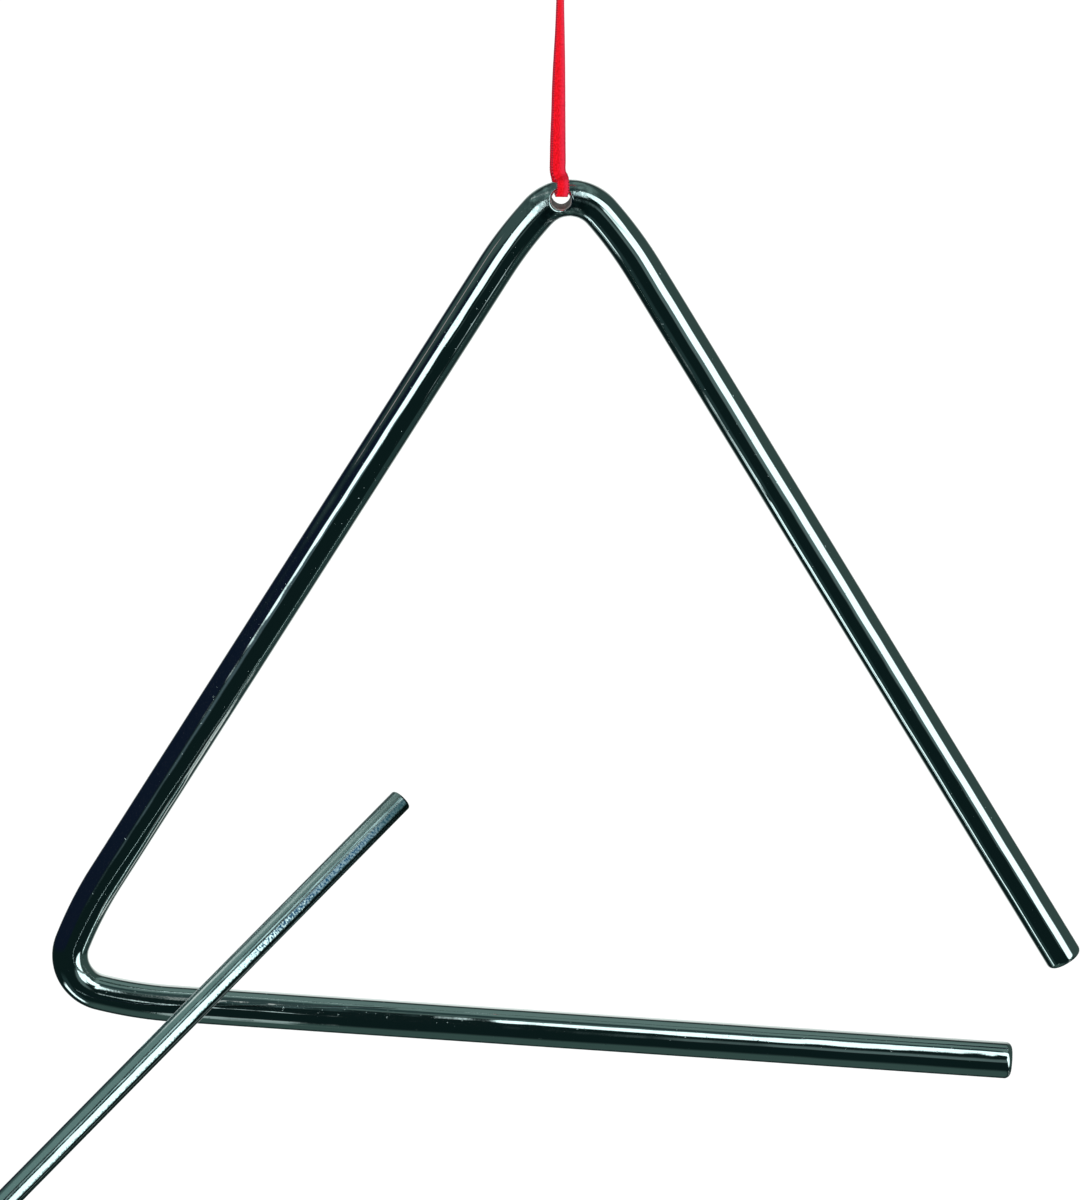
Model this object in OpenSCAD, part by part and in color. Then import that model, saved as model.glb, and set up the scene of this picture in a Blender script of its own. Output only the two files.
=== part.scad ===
// Hand-held triangle, a small percussion instrument, with its beater.
// A steel rod is bent into an open triangle and drilled through its top bend.
// A satin ribbon runs through that hole, is tied in one knot above it, and ends in a finger loop.
// The straight steel beater lies in front of the open side, as the player's other hand holds it.
// X runs to the right, Y away from the viewer and Z up.
// The origin is where the finger bears, on the underside of the finger loop's crown.

/* [Steel rod] */
// Diameter of the bent rod
rod_d = 8; // [6:0.5:10]
// Edge radius of the rod's two free ends
rod_end_r = 2.4; // [0.5:0.1:2.8]

/* [Triangle] */
// Left side, from the sharp top corner to the sharp lower corner
left_side = 219; // [150:1:300]
// Right leg, from the sharp top corner to its free end
right_leg = 208.5; // [140:0.5:290]
// Bottom leg, from the sharp lower corner to its free end
bottom_leg = 215.5; // [140:0.5:290]
// Angle between the left and right legs
top_angle = 64; // [50:0.5:70]
// Angle between the left and bottom legs
lower_angle = 61.5; // [50:0.5:70]
// Radius of the tight middle of the top bend, along the rod's centre line
top_bend_r = 9; // [7.5:0.1:14]
// Radius of the tight middle of the lower bend, along the rod's centre line
lower_bend_r = 8.7; // [7.5:0.1:14]
// Radius of the easing on both sides of each bend
ease_r = 90; // [40:1:120]
// How many degrees the top bend eases through on each side
top_ease = 9.8; // [5:0.1:14]
// How many degrees the lower bend eases through on each side
lower_ease = 8.6; // [5:0.1:14]

/* [Hanging hole] */
// Diameter of the drilled hole
hole_d = 4.1; // [3.8:0.1:4.6]
// How far the hole lies to the left of the bend's crown, in degrees round the bend
hole_turn = 12.3; // [0:0.1:20]
// Diameter of the countersink where it meets the rod's front and back
countersink_d = 5.8; // [4.8:0.1:6]
// Angle between the countersink's sides
countersink_angle = 60; // [40:5:90]

/* [Ribbon] */
// Width of the satin ribbon
ribbon_w = 3; // [2:0.1:3.2]
// Thickness of the ribbon
ribbon_t = 0.3; // [0.15:0.05:0.4]
// Height of the finger loop's crown above the middle of the hole
crown_rise = 91; // [91:1:100]
// How far the middle of the hole lies to the right of the finger loop
hole_right = 0.7; // [0:0.1:2]
// Height of the middle of the knot above the middle of the hole
knot_rise = 50; // [50:0.5:52]
// Diameter of the knot's body
knot_d = 6; // [5:0.1:6]
// Length of the two cut ribbon ends that stick out of the knot
tail_l = 9; // [5:0.5:14]

/* [Beater] */
// Diameter of the beater
beater_d = 5; // [4:0.5:6]
// Length of the beater
beater_l = 200; // [150:5:230]
// Edge radius of the beater's two ends
beater_end_r = 1.7; // [0.5:0.1:1.9]
// Clearance between the triangle's front and the beater's tip
beater_gap = 2.5; // [2:0.5:20]
// How far the beater's tip lies to the left of the hole
tip_left = 32.5; // [20:0.1:60]
// How far the beater's tip lies below the hole
tip_drop = 128.6; // [110:0.1:150]
// How steeply the beater falls from its tip to its grip
beater_fall = 39; // [30:0.5:50]
// How far the grip is swung towards the viewer, seen from above
beater_lean = 31; // [5:0.5:40]

/* [Hidden] */
$fn = 96;

// One overrun for every cut
cut_over = 1;
// Each run of rod goes a little way into the next, which is a hair thicker towards the middle of a bend
bend_swell = 0.04;
bend_lap = 0.4;

// Outline of the triangle in its own plane, with the sharp top corner at [0, 0]
left_dir = 270 - top_angle / 2;
right_dir = 270 + top_angle / 2;
bottom_dir = 90 - top_angle / 2 - lower_angle;
lower_corner = left_side * heading(left_dir);
top_setback = setback(top_angle, top_bend_r, top_ease);
lower_setback = setback(lower_angle, lower_bend_r, lower_ease);
left_straight = left_side - top_setback - lower_setback;
right_straight = right_leg - top_setback;
bottom_straight = bottom_leg - lower_setback;
top_arcs = bend_arcs([0, 0], 270, top_angle, top_bend_r, top_ease);
lower_arcs = bend_arcs(lower_corner, bottom_dir + lower_angle / 2, lower_angle, lower_bend_r, lower_ease);
hole_at = top_arcs[0][0] + top_bend_r * heading(90 + hole_turn);

// The triangle hangs with its centre of mass straight below the hole.
// Each run of rod is [length, middle of its centre line].
rod_runs = [
    [left_straight, (top_setback + left_straight / 2) * heading(left_dir)],
    [right_straight, (top_setback + right_straight / 2) * heading(right_dir)],
    [bottom_straight, lower_corner + (lower_setback + bottom_straight / 2) * heading(bottom_dir)],
    for (arc = concat(top_arcs, lower_arcs)) [arc_length(arc), arc_middle(arc)]
];
mass_middle = total([for (run = rod_runs) run[0] * run[1]]) / total([for (run = rod_runs) run[0]]);
to_mass = mass_middle - hole_at;
hang_turn = -90 - atan2(to_mass[1], to_mass[0]);

// Ribbon routes: x, y, z of the ribbon's centre line and the turn of its width from the X axis
// Hanging strands, from the middle of the hole: down the front, through the hole and up the back
strand_route = [
    [-0.7, -0.7, 46.4, 66],
    [-0.7, -1, 43, 62],
    [-0.7, -1.4, 39, 57],
    [-0.7, -1.8, 35, 50],
    [-0.7, -2.3, 30, 41],
    [-0.7, -2.9, 24, 31],
    [-0.7, -3.5, 18, 20],
    [-0.6, -4.1, 12, 11],
    [-0.5, -4.5, 8, 6],
    [-0.3, -4.7, 6, 4],
    [0, -4.7, 4.6, 2],
    [0.3, -4.7, 3.4, 0],
    [0.3, -4.7, 2.4, 0],
    [0.2, -4.6, 1.7, 0],
    [0.1, -4.3, 1.2, 0],
    [0.1, -3.7, 0.9, 0],
    [0.1, -2.4, 0.8, 0],
    [0, 0, 0.8, 0],
    [-0.1, 2.4, 0.8, 0],
    [-0.1, 3.7, 0.9, 0],
    [-0.2, 4.3, 1.2, 0],
    [-0.3, 4.6, 1.7, 0],
    [-0.5, 4.7, 2.4, 0],
    [-0.7, 4.7, 3.4, 0],
    [-0.9, 4.7, 4.6, 2],
    [-1, 4.7, 6, 4],
    [-1, 4.5, 8, 6],
    [-1, 4.1, 12, 11],
    [-0.9, 3.5, 18, 20],
    [-0.9, 2.9, 24, 31],
    [-0.8, 2.3, 30, 41],
    [-0.7, 1.8, 35, 50],
    [-0.7, 1.4, 39, 57],
    [-0.7, 1, 43, 62],
    [-0.7, 0.7, 46.4, 66]
];
// Finger loop, from the origin: up the left side, over the crown and down the right side
loop_route = [
    [-0.5, 0, -37.7, 90],
    [-0.8, 0, -35.5, 90],
    [-2, 0, -31.5, 90],
    [-4, 0, -26.5, 90],
    [-6.2, 0, -21, 90],
    [-8, 0, -15.5, 90],
    [-8.8, 0, -10.5, 90],
    [-8.2, 0, -6, 90],
    [-6.2, 0, -2.7, 90],
    [-3.3, 0, -0.6, 90],
    [0, 0, 0.1, 90],
    [3.3, 0, -0.6, 90],
    [6.2, 0, -2.7, 90],
    [8.2, 0, -6, 90],
    [8.8, 0, -10.5, 90],
    [8, 0, -15.5, 90],
    [6.2, 0, -21, 90],
    [4, 0, -26.5, 90],
    [2, 0, -31.5, 90],
    [0.8, 0, -35.5, 90],
    [0.5, 0, -37.7, 90]
];

// Ribbon's cross-section, its edges eased: [share of the width, share of the thickness]
ribbon_section_shares = [
    [-0.5, -0.2], [-0.46, -0.5], [0.46, -0.5], [0.5, -0.2],
    [0.5, 0.2], [0.46, 0.5], [-0.46, 0.5], [-0.5, 0.2]
];

// Knot: a ball with two wraps round it, in shares of the knot's diameter
ball_share = 0.92;
wrap_d_share = 0.36;
wrap_tilt = 24;
tail_rise = 20;
tail_root_share = 0.3;

function heading(a) = [cos(a), sin(a)];
function total(v, i = 0) = i == len(v) - 1 ? v[i] : v[i] + total(v, i + 1);

// A bend at a sharp corner is a tight arc between two easing arcs.
// Distance from the corner to the tight arc's centre, and from the corner to where the straight rod starts
function bend_depth(angle, r, ease) = (ease_r - (ease_r - r) * cos(ease)) / sin(angle / 2);
function setback(angle, r, ease) = bend_depth(angle, r, ease) * cos(angle / 2) + (ease_r - r) * sin(ease);

// The three arcs of a bend, the tight one first: [centre, radius, start, sweep]
function bend_arcs(corner, inward, angle, r, ease) =
    let (
        middle = corner + bend_depth(angle, r, ease) * heading(inward),
        half = 90 - angle / 2 - ease,
        first = inward + 180 - half,
        last = inward + 180 + half
    )
    [
        [middle, r, first, 2 * half],
        [middle - (ease_r - r) * heading(first), ease_r, first - ease, ease],
        [middle - (ease_r - r) * heading(last), ease_r, last, ease]
    ];
function arc_length(arc) = arc[1] * arc[3] * PI / 180;
function arc_middle(arc) =
    arc[0] + arc[1] * sin(arc[3] / 2) / (arc[3] / 2 * PI / 180) * heading(arc[2] + arc[3] / 2);
function unit(v) = v / norm(v);

// Direction of the route at point i
function route_way(route, i) =
    unit(place(route[min(i + 1, len(route) - 1)]) - place(route[max(i - 1, 0)]));
function place(p) = [p[0], p[1], p[2]];

// One ring of the ribbon: its section laid across the route, with its width turned by the route's fourth value
function ribbon_ring(route, i) =
    let (
        way = route_way(route, i),
        across = [cos(route[i][3]), sin(route[i][3]), 0],
        flat = unit(cross(way, across)),
        wide = cross(flat, way)
    )
    [for (s = ribbon_section_shares) place(route[i]) + s[0] * ribbon_w * wide + s[1] * ribbon_t * flat];

// Ribbon of rectangular section with eased edges, swept along a route
module ribbon_along(route) {
    sides = len(ribbon_section_shares);
    rings = len(route);
    points = [for (i = [0 : rings - 1]) each ribbon_ring(route, i)];
    skin = [
        for (i = [0 : rings - 2], k = [0 : sides - 1])
            let (
                a = i * sides + k,
                b = i * sides + (k + 1) % sides
            )
            each [[a, b, b + sides], [a, b + sides, a + sides]]
    ];
    near_cap = [for (k = [1 : sides - 2]) [0, k + 1, k]];
    last = (rings - 1) * sides;
    far_cap = [for (k = [1 : sides - 2]) [last, last + k, last + k + 1]];
    polyhedron(points, concat(near_cap, skin, far_cap), convexity = 8);
}

// Straight bar along +Z with its far end rounded
module round_bar(d, length, end_r) {
    rotate_extrude() {
        square([d / 2, length - end_r]);
        square([d / 2 - end_r, length]);
        translate([d / 2 - end_r, length - end_r])
            intersection() {
                circle(end_r);
                square(end_r);
            }
    }
}

// Turns what is drawn along +Z to run in the triangle's plane, from a point and along a heading
module leg(from, dir) {
    translate([from[0], from[1], 0])
        rotate([0, 90, dir])
            children();
}

// One arc of a bend in the triangle's plane, of a given thickness and lengthened at both ends by a lap
module rod_arc(arc, d, lap) {
    over = lap / arc[1] * 180 / PI;
    translate([arc[0][0], arc[0][1], 0])
        rotate(arc[2] - over)
            rotate_extrude(angle = arc[3] + 2 * over)
                translate([arc[1], 0])
                    circle(d = d);
}

// Bend with its tight arc the thickest, so that the easing arcs run into it
module bend(arcs) {
    rod_arc(arcs[0], rod_d + 2 * bend_swell, 0);
    rod_arc(arcs[1], rod_d + bend_swell, bend_lap);
    rod_arc(arcs[2], rod_d + bend_swell, bend_lap);
}

// Countersink on one face of the rod, along +Z
module countersink() {
    depth = countersink_d / 2 / tan(countersink_angle / 2);
    spread = cut_over * tan(countersink_angle / 2);
    translate([0, 0, rod_d / 2 - depth])
        cylinder(h = depth + cut_over, r1 = 0, r2 = countersink_d / 2 + spread);
}

// Drilled and countersunk hole through the top bend
module hanging_hole() {
    translate([hole_at[0], hole_at[1], 0]) {
        cylinder(d = hole_d, h = rod_d + 2 * cut_over, center = true);
        countersink();
        mirror([0, 0, 1])
            countersink();
    }
}

// Puts what is drawn round the hole, in the triangle's plane, where it hangs
module hung() {
    translate([hole_right, 0, -crown_rise])
        rotate([90, 0, 0])
            rotate(hang_turn)
                translate([-hole_at[0], -hole_at[1], 0])
                    children();
}

module triangle_rod() {
    color([0.28, 0.34, 0.34])
        hung()
            difference() {
                union() {
                    leg((top_setback - bend_lap) * heading(left_dir), left_dir)
                        cylinder(d = rod_d, h = left_straight + 2 * bend_lap);
                    leg((top_setback - bend_lap) * heading(right_dir), right_dir)
                        round_bar(rod_d, right_straight + bend_lap, rod_end_r);
                    leg(lower_corner + (lower_setback - bend_lap) * heading(bottom_dir), bottom_dir)
                        round_bar(rod_d, bottom_straight + bend_lap, rod_end_r);
                    bend(top_arcs);
                    bend(lower_arcs);
                }
                hanging_hole();
            }
}

module hanging_ribbon() {
    color([0.85, 0.06, 0.1])
        translate([hole_right, 0, -crown_rise])
            ribbon_along(strand_route);
}

module finger_loop() {
    color([0.85, 0.06, 0.1])
        ribbon_along(loop_route);
}

// One ring of ribbon drawn tight round the knot
module knot_wrap(tilt) {
    rotate([tilt, 0, 0])
        rotate_extrude()
            translate([knot_d * (1 - wrap_d_share) / 2, 0])
                circle(d = knot_d * wrap_d_share);
}

// Cut end of the ribbon, its tip cut on the slant
module ribbon_tail() {
    root = knot_d * tail_root_share;
    rotate([0, -tail_rise, 0])
        translate([0, 0, -ribbon_t / 2])
            linear_extrude(ribbon_t)
                polygon([
                    [root, -ribbon_w / 2],
                    [knot_d / 2 + tail_l, -ribbon_w / 2],
                    [knot_d / 2 + tail_l - ribbon_w, ribbon_w / 2],
                    [root, ribbon_w / 2]
                ]);
}

module ribbon_knot() {
    color([0.8, 0.05, 0.09])
        translate([0, 0, knot_rise - crown_rise]) {
            sphere(d = knot_d * ball_share);
            knot_wrap(wrap_tilt);
            knot_wrap(-wrap_tilt);
            ribbon_tail();
            rotate(180)
                ribbon_tail();
        }
}

module beater() {
    half_l = beater_l / 2;
    tip = [hole_right - tip_left, -(rod_d / 2 + beater_gap + beater_d / 2), -tip_drop - crown_rise];
    color([0.5, 0.56, 0.56])
        translate(tip)
            rotate([0, 0, beater_lean])
                rotate([0, 270 - beater_fall, 0])
                    translate([0, 0, half_l]) {
                        round_bar(beater_d, half_l, beater_end_r);
                        mirror([0, 0, 1])
                            round_bar(beater_d, half_l, beater_end_r);
                    }
}

triangle_rod();
hanging_ribbon();
ribbon_knot();
finger_loop();
beater();
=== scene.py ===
import math

import bmesh
import bpy
import numpy as np
from mathutils import Matrix, Vector


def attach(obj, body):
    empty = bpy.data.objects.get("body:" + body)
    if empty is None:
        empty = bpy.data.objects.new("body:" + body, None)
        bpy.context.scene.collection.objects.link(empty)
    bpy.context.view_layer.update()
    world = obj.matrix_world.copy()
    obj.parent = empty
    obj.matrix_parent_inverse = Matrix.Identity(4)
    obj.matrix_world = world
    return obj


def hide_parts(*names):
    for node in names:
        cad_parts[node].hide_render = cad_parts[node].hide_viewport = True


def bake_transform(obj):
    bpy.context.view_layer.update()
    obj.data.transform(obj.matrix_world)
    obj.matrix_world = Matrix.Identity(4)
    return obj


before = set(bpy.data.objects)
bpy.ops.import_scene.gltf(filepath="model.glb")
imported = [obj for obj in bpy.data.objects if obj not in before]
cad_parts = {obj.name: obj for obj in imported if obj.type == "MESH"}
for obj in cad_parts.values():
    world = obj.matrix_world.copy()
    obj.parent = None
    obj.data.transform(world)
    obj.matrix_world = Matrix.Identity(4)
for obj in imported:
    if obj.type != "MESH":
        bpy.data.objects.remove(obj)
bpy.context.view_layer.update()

# Lengths are in millimetres until a mesh is made, and angles in degrees.
MM = 0.001

# Steel rod and triangle, as in the CAD. The lower bend and the free ends follow the photo more closely:
# the bend eases in over a longer way, and the ends are rounded less and stop a little sooner.
ROD_D = 8
ROD_END_R = 1.4
LEFT_SIDE = 219.05
RIGHT_LEG = 207.65
BOTTOM_LEG = 215.1
TOP_ANGLE = 64
LOWER_ANGLE = 61.45
TOP_BEND_R = 9
LOWER_BEND_R = 8.4
EASE_R = 90
TOP_EASE = 9.8
LOWER_EASE = 10.4
HANG_TURN = 0.1624

# Hanging hole, where the CAD has it. Its bore rises towards the back, and its rim is broken evenly.
HOLE_D = 4.1
HOLE_TURN = 12.3
MOUTH_R = 2.5
RIM_DEPTH = 0.45
RIM_EDGE = 0.22
BORE_RISE = 0.75
DRILL_MARK = 0.018
DRILL_PITCH = 0.42
HOLE_MIDDLE = np.array([0.7, -91])

# The real rod is pressed a little oval in its bends
BEND_SQUEEZE = 0.06
BEND_SPREAD = 0.03

# Plating is rougher round the hole and the lower bend: how far fully, and over how long it fades
HOLE_ROUGH_R = 3
HOLE_ROUGH_FADE = 7
CORNER_ROUGH_R = 12
CORNER_ROUGH_FADE = 16

# Beater, as in the CAD but for squarer ends, and moved half a millimetre, mostly back along its length
BEATER_D = 5
BEATER_L = 200
BEATER_END_R = 0.6
BEATER_TIP = np.array([-31.96, -9.18, -220.02])
BEATER_FALL = 39
BEATER_LEAN = 31

# Ribbon, of the CAD's width and thickness. Its edges ripple with the weave, and it narrows at the hole.
RIBBON_W = 3
RIBBON_T = 0.3
SELVEDGE_PITCH = 0.5
SELVEDGE_RIPPLE = 0.012
GATHER = 0.13
GATHER_TOP = 5.8
GATHER_FADE = 2
LOOP_CUP = 0.12
KNOT_MIDDLE = np.array([0, 0, -41])
KNOT_D = 6
TAIL_L = 9

# Distance between the ribbon's rings, and the points that a curve has between two points of a route
RIBBON_STEP = 0.12
ROUTE_STEPS = 60

# Hanging strands, from the middle of the hole: x, y, z and the turn of the width from the X axis.
# The CAD's route, with both ends carried into the knot and a sharper kink over the front of the rod.
STRAND_ROUTE = [
    (-0.2, -0.5, 48.2, 66),
    (-0.7, -0.7, 46.4, 66),
    (-0.7, -1, 43, 62),
    (-0.7, -1.4, 39, 57),
    (-0.7, -1.8, 35, 50),
    (-0.7, -2.3, 30, 41),
    (-0.7, -2.9, 24, 31),
    (-0.7, -3.5, 18, 20),
    (-0.65, -4.1, 12, 11),
    (-0.6, -4.5, 8.6, 6),
    (-0.6, -4.7, 6.6, 4),
    (-0.4, -4.7, 5.7, 3),
    (0.2, -4.7, 4.7, 1),
    (0.38, -4.7, 3.7, 0),
    (0.4, -4.7, 2.5, 0),
    (0.3, -4.6, 1.7, 0),
    (0.1, -4.3, 1.2, 0),
    (0.1, -3.7, 0.9, 0),
    (0.1, -2.4, 0.8, 0),
    (0, 0, 0.8, 0),
    (-0.1, 2.4, 0.8, 0),
    (-0.1, 3.7, 0.9, 0),
    (-0.2, 4.3, 1.2, 0),
    (-0.3, 4.6, 1.7, 0),
    (-0.5, 4.7, 2.4, 0),
    (-0.7, 4.7, 3.4, 0),
    (-0.9, 4.7, 4.6, 2),
    (-1, 4.7, 6, 4),
    (-1, 4.5, 8, 6),
    (-1, 4.1, 12, 11),
    (-0.9, 3.5, 18, 20),
    (-0.9, 2.9, 24, 31),
    (-0.8, 2.3, 30, 41),
    (-0.7, 1.8, 35, 50),
    (-0.7, 1.4, 39, 57),
    (-0.7, 1, 43, 62),
    (-0.7, 0.7, 46.4, 66),
    (-0.2, 0.5, 48.2, 66),
]
# Finger loop, from the origin: out of the knot and up the left side to the crown; the right side mirrors it
LOOP_SIDE = [
    (-0.3, 0, -39.2, 90),
    (-0.5, 0, -37.7, 90),
    (-0.8, 0, -35.5, 90),
    (-2, 0, -31.5, 90),
    (-4, 0, -26.5, 90),
    (-6.2, 0, -21, 90),
    (-8, 0, -15.5, 90),
    (-8.8, 0, -10.5, 90),
    (-8.2, 0, -6, 90),
    (-6.2, 0, -2.7, 90),
    (-3.3, 0, -0.6, 90),
    (0, 0, 0.1, 90),
]

# Camera: the photo's viewpoint, 10 degrees above the object and turned a little about its own axis
CAMERA_AT = Vector((-2.62, -1083.29, 13.25))
CAMERA_TARGET = Vector((-2.62, 0, -177.76))
CAMERA_ROLL = 0.7
SENSOR_W = 36
LENS = 152.92

# Studio, in metres
DOME_R = 1.2
DOME_MIDDLE = (0, 0, -0.2)
FLOOR_REACH = 20
FLOOR_Z = -0.45


def cos(a):
    return math.cos(math.radians(a))


def sin(a):
    return math.sin(math.radians(a))


def heading(a):
    return np.array([cos(a), sin(a)])


def unit(v):
    return v / np.linalg.norm(v)


def smooth(t):
    t = np.clip(t, 0, 1)
    return t * t * (3 - 2 * t)


# Meshes
def add_object(name, points, faces, materials, face_materials=None, attributes=None):
    """A smooth-shaded mesh of millimetre points, its faces turned outwards."""
    mesh = bpy.data.meshes.new(name)
    mesh.from_pydata([tuple(p) for p in np.asarray(points) * MM], [], faces)
    for material in materials:
        mesh.materials.append(material)
    if face_materials is not None:
        mesh.polygons.foreach_set("material_index", face_materials)
    for key, values in (attributes or {}).items():
        layer = mesh.attributes.new(key, "FLOAT", "POINT")
        layer.data.foreach_set("value", np.asarray(values, np.float32))
    shape = bmesh.new()
    shape.from_mesh(mesh)
    bmesh.ops.delete(shape, geom=[v for v in shape.verts if not v.link_faces], context="VERTS")
    bmesh.ops.recalc_face_normals(shape, faces=shape.faces)
    for face in shape.faces:
        face.smooth = True
    shape.to_mesh(mesh)
    shape.free()
    made = bpy.data.objects.new(name, mesh)
    bpy.context.scene.collection.objects.link(made)
    return made


def skin(rings, sides, closed=True):
    """Quads between rings of points numbered one ring after another."""
    last = sides if closed else sides - 1
    faces = []
    for i in range(rings - 1):
        for k in range(last):
            a = i * sides + k
            b = i * sides + (k + 1) % sides
            faces.append((a, b, b + sides, a + sides))
    return faces


def capped_skin(rings, sides):
    """The skin of a tube, with a face over each end."""
    count = rings * sides
    return skin(rings, sides) + [tuple(range(sides)), tuple(range(count - sides, count))]


# Triangle rod
def bend_depth(angle, r, ease):
    return (EASE_R - (EASE_R - r) * cos(ease)) / sin(angle / 2)


def setback(angle, r, ease):
    return bend_depth(angle, r, ease) * cos(angle / 2) + (EASE_R - r) * sin(ease)


def bend_arcs(corner, inward, angle, r, ease):
    """The three arcs of a bend in order: (centre, radius, start, sweep)."""
    middle = corner + bend_depth(angle, r, ease) * heading(inward)
    half = 90 - angle / 2 - ease
    first = (inward + 180 - half) % 360
    last = first + 2 * half
    return [
        (middle - (EASE_R - r) * heading(first), EASE_R, first - ease, ease),
        (middle, r, first, 2 * half),
        (middle - (EASE_R - r) * heading(last), EASE_R, last, ease),
    ]


LEFT_DIR = 270 - TOP_ANGLE / 2
RIGHT_DIR = 270 + TOP_ANGLE / 2
BOTTOM_DIR = 90 - TOP_ANGLE / 2 - LOWER_ANGLE
LOWER_CORNER = LEFT_SIDE * heading(LEFT_DIR)
TOP_SETBACK = setback(TOP_ANGLE, TOP_BEND_R, TOP_EASE)
LOWER_SETBACK = setback(LOWER_ANGLE, LOWER_BEND_R, LOWER_EASE)
LOWER_INWARD = BOTTOM_DIR + LOWER_ANGLE / 2
TOP_ARCS = bend_arcs(np.zeros(2), 270, TOP_ANGLE, TOP_BEND_R, TOP_EASE)
LOWER_ARCS = bend_arcs(LOWER_CORNER, LOWER_INWARD, LOWER_ANGLE, LOWER_BEND_R, LOWER_EASE)
BEND_CENTRE = TOP_ARCS[1][0]
HOLE_AT = BEND_CENTRE + TOP_BEND_R * heading(90 + HOLE_TURN)

# Rings of the rod: points in each, and the steps between them in the legs, the easing and the tight bend
ROD_SIDES = 144
SIDE_STEP = 360 / ROD_SIDES
STRAIGHT_STEP = 3.0
EASE_STEP = 0.6
TIGHT_STEP = 0.2

# Rings that close a free end: degrees between those of its rounded edge, and radii of those on its face
END_TURN = 9
FACE_RADII = (1.3, 0.9, 0.5, 0.1)

# Patch of the rod's cells that the hole's own rings fill: degrees of a cell, and cells from the middle
HOLE_STEP = 1.0
HOLE_CELLS = 26
HOLE_SIDE_CELLS = 28

# Rings of the hole: over the bend's skin, over the rim, down the throat and along half of the bore.
# The skin's crowd towards the rim, and the rim's end at a share of the way down the throat.
SKIN_RINGS = 11
SKIN_CROWDING = 1.2
RIM_RINGS = 8
RIM_SHARE = 0.4
THROAT_RINGS = 5
BORE_RINGS = 26
DARKENING_RINGS = 5


def hang(flat, y):
    """Row place of a point of the triangle's own plane, with its depth."""
    c, s = cos(HANG_TURN), sin(HANG_TURN)
    d = np.asarray(flat) - HOLE_AT
    x = HOLE_MIDDLE[0] + c * d[..., 0] - s * d[..., 1]
    z = HOLE_MIDDLE[1] + s * d[..., 0] + c * d[..., 1]
    return np.stack([x, np.broadcast_to(y, x.shape), z], -1)


def straight_steps(start, end, direction):
    """Places along a leg: point, direction and how far the rod is squeezed there."""
    count = max(2, int(np.linalg.norm(end - start) / STRAIGHT_STEP))
    return [(start + (end - start) * i / count, direction, 0.0) for i in range(count)]


def arc_steps(arc, squeeze_from, squeeze_to, step):
    """The same along an arc."""
    centre, r, start, sweep = arc
    count = max(4, int(round(math.radians(sweep) * r / step)))
    steps = []
    for i in range(count):
        a = start + sweep * i / count
        squeeze = squeeze_from + (squeeze_to - squeeze_from) * float(smooth(i / count))
        steps.append((centre + r * heading(a), a + 90, squeeze))
    return steps


def top_tight_steps():
    """The top bend's tight arc, its rings even round the hole, and how many lie before the patch."""
    centre, r, start, sweep = TOP_ARCS[1]
    before = 90 + HOLE_TURN - HOLE_CELLS * HOLE_STEP
    after = 90 + HOLE_TURN + HOLE_CELLS * HOLE_STEP
    turns = list(np.linspace(start, before, int(before - start) + 1)[:-1])
    ahead_of_patch = len(turns)
    turns += list(np.linspace(before, after, 2 * HOLE_CELLS + 1))
    turns += list(np.linspace(after, start + sweep, int(start + sweep - after) + 2)[1:-1])
    return [(centre + r * heading(a), a + 90, 1.0) for a in turns], ahead_of_patch


def rod_steps():
    """The rod's centre line from the right leg's end, over the top bend, to the bottom leg's end.

    Also gives the number of the step where the hole's patch begins.
    """
    right_end = RIGHT_LEG * heading(RIGHT_DIR) - ROD_END_R * heading(RIGHT_DIR)
    right_top = TOP_SETBACK * heading(RIGHT_DIR)
    left_top = TOP_SETBACK * heading(LEFT_DIR)
    left_low = (LEFT_SIDE - LOWER_SETBACK) * heading(LEFT_DIR)
    low_start = LOWER_CORNER + LOWER_SETBACK * heading(BOTTOM_DIR)
    low_end = LOWER_CORNER + BOTTOM_LEG * heading(BOTTOM_DIR) - ROD_END_R * heading(BOTTOM_DIR)
    tight, ahead_of_patch = top_tight_steps()
    steps = straight_steps(right_end, right_top, RIGHT_DIR - 180)
    steps += arc_steps(TOP_ARCS[0], 0, 1, EASE_STEP)
    patch_first = len(steps) + ahead_of_patch
    steps += tight
    steps += arc_steps(TOP_ARCS[2], 1, 0, EASE_STEP)
    steps += straight_steps(left_top, left_low, LEFT_DIR)
    steps += arc_steps(LOWER_ARCS[0], 0, 1, EASE_STEP)
    steps += arc_steps(LOWER_ARCS[1], 1, 1, TIGHT_STEP)
    steps += arc_steps(LOWER_ARCS[2], 1, 0, EASE_STEP)
    steps += straight_steps(low_start, low_end, BOTTOM_DIR)
    steps.append((low_end, BOTTOM_DIR, 0.0))
    return steps, patch_first


def half_width(squeeze):
    return ROD_D / 2 - BEND_SQUEEZE * squeeze


def half_depth(squeeze):
    return ROD_D / 2 + BEND_SPREAD * squeeze


def rod_ring(point, direction, squeeze, shrink=0.0):
    """One ring round the rod. Its first point is the one nearest to the viewer."""
    turns = np.radians(-90 + SIDE_STEP * np.arange(ROD_SIDES))
    out = (half_width(squeeze) - shrink) * np.cos(turns)
    y = (half_depth(squeeze) - shrink) * np.sin(turns)
    return hang(point + out[:, None] * heading(direction - 90), y)


def end_rings(point, direction):
    """Rings that round off a free end and close its flat face, from the rod's side to its middle."""
    rings = []
    for turn in range(END_TURN, 91, END_TURN):
        ahead = point + ROD_END_R * sin(turn) * heading(direction)
        rings.append(rod_ring(ahead, direction, 0, ROD_END_R * (1 - cos(turn))))
    face = point + ROD_END_R * heading(direction)
    for r in FACE_RADII:
        rings.append(rod_ring(face, direction, 0, ROD_D / 2 - r))
    return rings


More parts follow.
